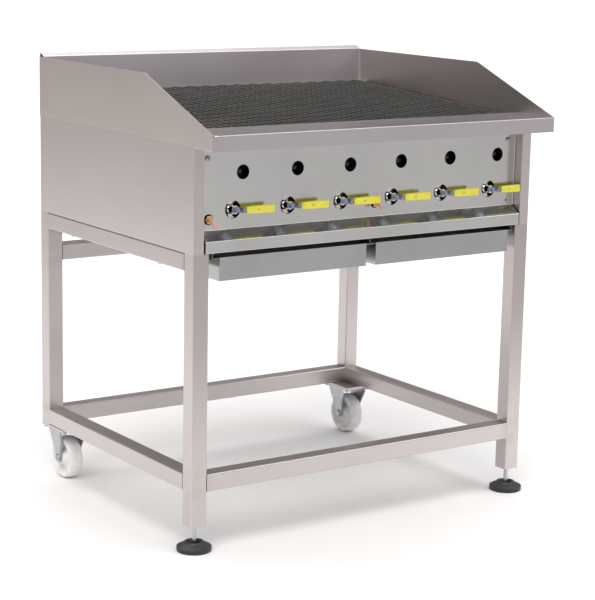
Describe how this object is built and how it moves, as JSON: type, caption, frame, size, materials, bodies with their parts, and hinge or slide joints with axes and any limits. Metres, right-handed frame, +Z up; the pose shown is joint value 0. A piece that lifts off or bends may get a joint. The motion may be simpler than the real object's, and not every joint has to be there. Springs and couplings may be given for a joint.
{
  "type": "gas charbroiler grill",
  "caption": "Gas charbroiler with a sloping mesh grate, lever gas valves and slide-out drip trays, on a square-tube stand with adjustable feet and fixed castors.",
  "frame": {"origin": "on the floor, under the middle of the whole length and depth", "axes": "+Z up, the control panel faces -Y, +X to the right as seen from the front"},
  "size_m": [0.937, 0.796, 1.0031],
  "materials": {
    "stand_steel": "satin",
    "body_steel": "satin",
    "panel_steel": "semi-gloss, greenish grey",
    "tray_steel": "semi-gloss, greenish grey",
    "dark_steel": "matt black mill scale",
    "black_pipe": "matt black",
    "zinc": "bright zinc plate",
    "lever_zinc": "blue zinc plate",
    "valve_chrome": "bright nickel plate",
    "brass": "drawn, slightly dull",
    "yellow_vinyl": "dipped vinyl",
    "pink_sleeve": "vinyl sleeve",
    "black_rubber": "moulded",
    "white_nylon": "moulded"
  },
  "bodies": {
    "stand_and_body": {"baffles": "dark_steel", "body_back": "body_steel", "burners": "dark_steel", "castor_axles": "zinc", "castor_brackets": "zinc", "control_panel": "panel_steel", "corner_plates": "stand_steel", "cross_angles": "dark_steel", "deck_front": "body_steel", "firebox_front": "body_steel", "foot_nuts": "zinc", "frame_bolts": "zinc", "gas_risers": "black_pipe", "grate_rests": "body_steel", "leg_front_left": "stand_steel", "leg_front_right": "stand_steel", "leg_rear_left": "stand_steel", "leg_rear_right": "stand_steel", "manifold": "black_pipe", "manifold_clips": "black_pipe", "panel_screws": "zinc", "pilot_taps": "brass", "rail_lower_front": "stand_steel", "rail_lower_left": "stand_steel", "rail_lower_rear": "stand_steel", "rail_lower_right": "stand_steel", "rail_upper_left": "stand_steel", "rail_upper_rear": "stand_steel", "rail_upper_right": "stand_steel", "side_left": "body_steel", "side_right": "body_steel", "splash_back": "body_steel", "splash_left": "body_steel", "splash_right": "body_steel", "supply_pipe": "black_pipe", "tray_runners": "body_steel", "valve_bodies": "valve_chrome"},
    "lever_1": {"lever_1": "lever_zinc", "lever_sleeve_1": "yellow_vinyl"},
    "lever_2": {"lever_2": "lever_zinc", "lever_sleeve_2": "yellow_vinyl"},
    "lever_3": {"lever_3": "lever_zinc", "lever_sleeve_3": "yellow_vinyl"},
    "lever_4": {"lever_4": "lever_zinc", "lever_sleeve_4": "yellow_vinyl"},
    "lever_5": {"lever_5": "lever_zinc", "lever_sleeve_5": "yellow_vinyl"},
    "lever_6": {"lever_6": "lever_zinc", "lever_sleeve_6": "yellow_vinyl"},
    "pilot_left": {"pilot_key_left": "pink_sleeve"},
    "pilot_middle": {"pilot_key_middle": "pink_sleeve"},
    "tray_left": {"tray_left": "tray_steel"},
    "tray_right": {"tray_right": "tray_steel"},
    "grate": {"grate": "dark_steel"},
    "castor_left": {"castor_left_wheel": "white_nylon"},
    "castor_right": {"castor_right_wheel": "white_nylon"},
    "foot_left": {"foot_left_pad": "black_rubber", "foot_left_stud": "zinc"},
    "foot_right": {"foot_right_pad": "black_rubber", "foot_right_stud": "zinc"}
  },
  "joints": [
    {"name": "lever_1_turn", "type": "hinge", "parent": "stand_and_body", "child": "lever_1", "pos_m": [-0.33975, -0.306, 0.7225], "axis": [0, -1, 0], "range_deg": [0, 90]},
    {"name": "lever_2_turn", "type": "hinge", "parent": "stand_and_body", "child": "lever_2", "pos_m": [-0.20225, -0.306, 0.7225], "axis": [0, -1, 0], "range_deg": [0, 90]},
    {"name": "lever_3_turn", "type": "hinge", "parent": "stand_and_body", "child": "lever_3", "pos_m": [-0.06475, -0.306, 0.7225], "axis": [0, -1, 0], "range_deg": [0, 90]},
    {"name": "lever_4_turn", "type": "hinge", "parent": "stand_and_body", "child": "lever_4", "pos_m": [0.07275, -0.306, 0.7225], "axis": [0, -1, 0], "range_deg": [0, 90]},
    {"name": "lever_5_turn", "type": "hinge", "parent": "stand_and_body", "child": "lever_5", "pos_m": [0.21025, -0.306, 0.7225], "axis": [0, -1, 0], "range_deg": [0, 90]},
    {"name": "lever_6_turn", "type": "hinge", "parent": "stand_and_body", "child": "lever_6", "pos_m": [0.34775, -0.306, 0.7225], "axis": [0, -1, 0], "range_deg": [0, 90]},
    {"name": "pilot_left_turn", "type": "hinge", "parent": "stand_and_body", "child": "pilot_left", "pos_m": [-0.399, -0.299, 0.705], "axis": [0, -1, 0], "range_deg": [0, 90]},
    {"name": "pilot_middle_turn", "type": "hinge", "parent": "stand_and_body", "child": "pilot_middle", "pos_m": [0.027, -0.299, 0.712], "axis": [0, -1, 0], "range_deg": [0, 90]},
    {"name": "tray_left_slide", "type": "slide", "parent": "stand_and_body", "child": "tray_left", "axis": [0, -1, 0], "range_m": [0, 0.45]},
    {"name": "tray_right_slide", "type": "slide", "parent": "stand_and_body", "child": "tray_right", "axis": [0, -1, 0], "range_m": [0, 0.45]},
    {"name": "grate_lift", "type": "slide", "parent": "stand_and_body", "child": "grate", "axis": [0, 0, 1], "range_m": [0, 0.15]},
    {"name": "castor_left_roll", "type": "hinge", "parent": "stand_and_body", "child": "castor_left", "pos_m": [-0.41, 0.3155, 0.05], "axis": [1, 0, 0], "continuous": true},
    {"name": "castor_right_roll", "type": "hinge", "parent": "stand_and_body", "child": "castor_right", "pos_m": [0.41, 0.3155, 0.05], "axis": [1, 0, 0], "continuous": true},
    {"name": "foot_left_thread", "type": "slide", "parent": "stand_and_body", "child": "foot_left", "axis": [0, 0, 1], "range_m": [-0.02, 0.025]},
    {"name": "foot_right_thread", "type": "slide", "parent": "stand_and_body", "child": "foot_right", "axis": [0, 0, 1], "range_m": [-0.02, 0.025]}
  ]
}
